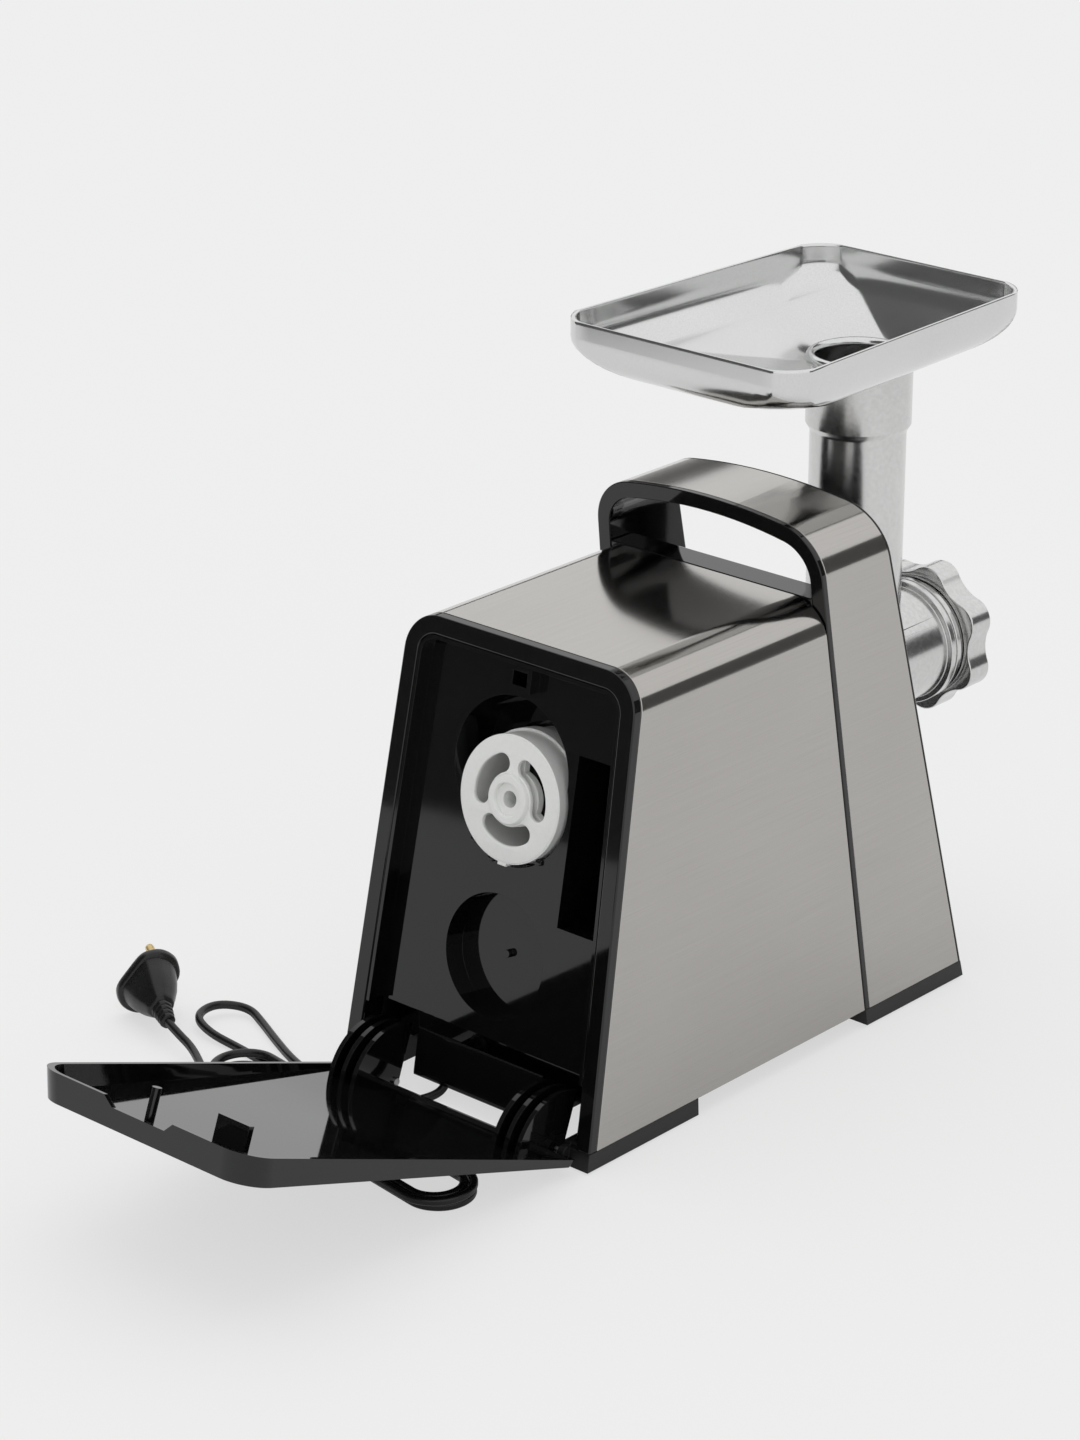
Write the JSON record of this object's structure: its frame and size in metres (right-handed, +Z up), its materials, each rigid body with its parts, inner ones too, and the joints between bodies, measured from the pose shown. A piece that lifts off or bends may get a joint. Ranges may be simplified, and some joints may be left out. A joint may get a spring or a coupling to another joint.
{
  "type": "electric meat grinder",
  "caption": "Electric meat grinder with brushed steel wrap, carrying handle, hopper tray and an open rear storage door, cord on the ground",
  "frame": {"origin": "on the ground at the middle of the base's footprint", "axes": "+Z up, -Y towards the grinding head, +Y towards the storage door, +X to the switch side"},
  "size_m": [0.3062, 0.5865, 0.362],
  "materials": {
    "brushed_steel": "fine lengthwise brushing, satin",
    "gloss_black": "polished",
    "satin_black": "fine grain, satin",
    "rubber_black": "matte",
    "cord_black": "satin",
    "polished_aluminium": "polished casting and spun sheet",
    "tool_steel": "ground",
    "white_plastic": "satin moulding",
    "gear_nylon": "moulded",
    "cast_metal": "satin",
    "brass": "plated",
    "copper": "enamelled winding",
    "carbon": "matte"
  },
  "bodies": {
    "body": {"base_plate": "satin_black", "rubber_feet": "rubber_black", "rear_wrap": "brushed_steel", "motor_carcass": "satin_black", "rear_bezel": "gloss_black", "storage_liner": "gloss_black", "kubbe_disc": "white_plastic", "hinge_pins": "tool_steel", "front_housing": "gloss_black", "handle_frame": "gloss_black", "handle_band": "brushed_steel", "head_collar": "cast_metal", "switch_bezel": "satin_black", "switch_body": "satin_black", "gearbox_case": "white_plastic", "gearbox_cover": "white_plastic", "output_bush": "brass", "first_layshaft": "tool_steel", "second_layshaft": "tool_steel", "motor_stator": "cast_metal", "field_coils": "copper", "motor_cradle": "satin_black", "motor_rear_bracket": "satin_black", "motor_bearings": "tool_steel", "brush_holders": "brass", "carbon_brushes": "carbon", "cord_gland": "rubber_black", "cord_lead": "cord_black", "cord_hank": "cord_black", "cord_tail": "cord_black", "plug_body": "cord_black", "plug_pins": "brass"},
    "door": {"rear_door": "gloss_black"},
    "rotor": {"motor_shaft": "tool_steel", "armature": "cast_metal", "commutator": "copper", "cooling_fan": "satin_black", "motor_pinion": "tool_steel"},
    "first": {"first_gear": "gear_nylon"},
    "second": {"second_gear": "gear_nylon"},
    "output": {"output_gear": "gear_nylon", "output_shaft": "tool_steel", "auger": "polished_aluminium", "knife": "tool_steel"},
    "head": {"grinder_head": "polished_aluminium", "cutting_plate": "tool_steel"},
    "nut": {"ring_nut": "polished_aluminium"},
    "tray": {"hopper_tray": "polished_aluminium"},
    "rocker": {"power_rocker": "satin_black"},
    "reverse": {"reverse_button": "satin_black"},
    "release": {"release_button": "satin_black"}
  },
  "joints": [
    {"name": "door_hinge", "type": "hinge", "parent": "body", "child": "door", "pos_m": [0, 0.149, 0.007], "axis": [1, 0, 0], "range_deg": [0, 79.7]},
    {"name": "motor_spin", "type": "hinge", "parent": "body", "child": "rotor", "pos_m": [0, 0, 0.05727], "axis": [0, 1, 0], "continuous": true},
    {"name": "first_spin", "type": "hinge", "parent": "body", "child": "first", "pos_m": [0.008, -0.06, 0.08929], "axis": [0, 1, 0], "continuous": true},
    {"name": "second_spin", "type": "hinge", "parent": "body", "child": "second", "pos_m": [-0.022, -0.075, 0.11574], "axis": [0, 1, 0], "continuous": true},
    {"name": "output_spin", "type": "hinge", "parent": "body", "child": "output", "pos_m": [0, -0.08, 0.155], "axis": [0, 1, 0], "continuous": true},
    {"name": "head_turn", "type": "hinge", "parent": "body", "child": "head", "pos_m": [0, -0.12, 0.155], "axis": [0, 1, 0], "range_deg": [0, 40]},
    {"name": "ring_nut_turn", "type": "hinge", "parent": "head", "child": "nut", "pos_m": [0, -0.216, 0.155], "axis": [0, 1, 0], "range_deg": [0, 540]},
    {"name": "tray_lift", "type": "slide", "parent": "head", "child": "tray", "axis": [0, 0, 1], "range_m": [0, 0.06]},
    {"name": "power_rock", "type": "hinge", "parent": "body", "child": "rocker", "pos_m": [0.07489, 0.0095, 0.11989], "axis": [0, 1, 0], "range_deg": [-8, 8]},
    {"name": "reverse_press", "type": "slide", "parent": "body", "child": "reverse", "axis": [-0.9993, 0, -0.0384], "range_m": [0, 0.003], "stiffness_N_per_m": 400, "springref_m": -0.001},
    {"name": "release_press", "type": "slide", "parent": "body", "child": "release", "axis": [0, 1, 0], "range_m": [0, 0.004], "stiffness_N_per_m": 400, "springref_m": -0.001}
  ],
  "couplings": [
    {"joint": "first_spin", "follows": "motor_spin", "ratio": -0.2},
    {"joint": "second_spin", "follows": "motor_spin", "ratio": 0.046154},
    {"joint": "output_spin", "follows": "motor_spin", "ratio": -0.011538}
  ]
}
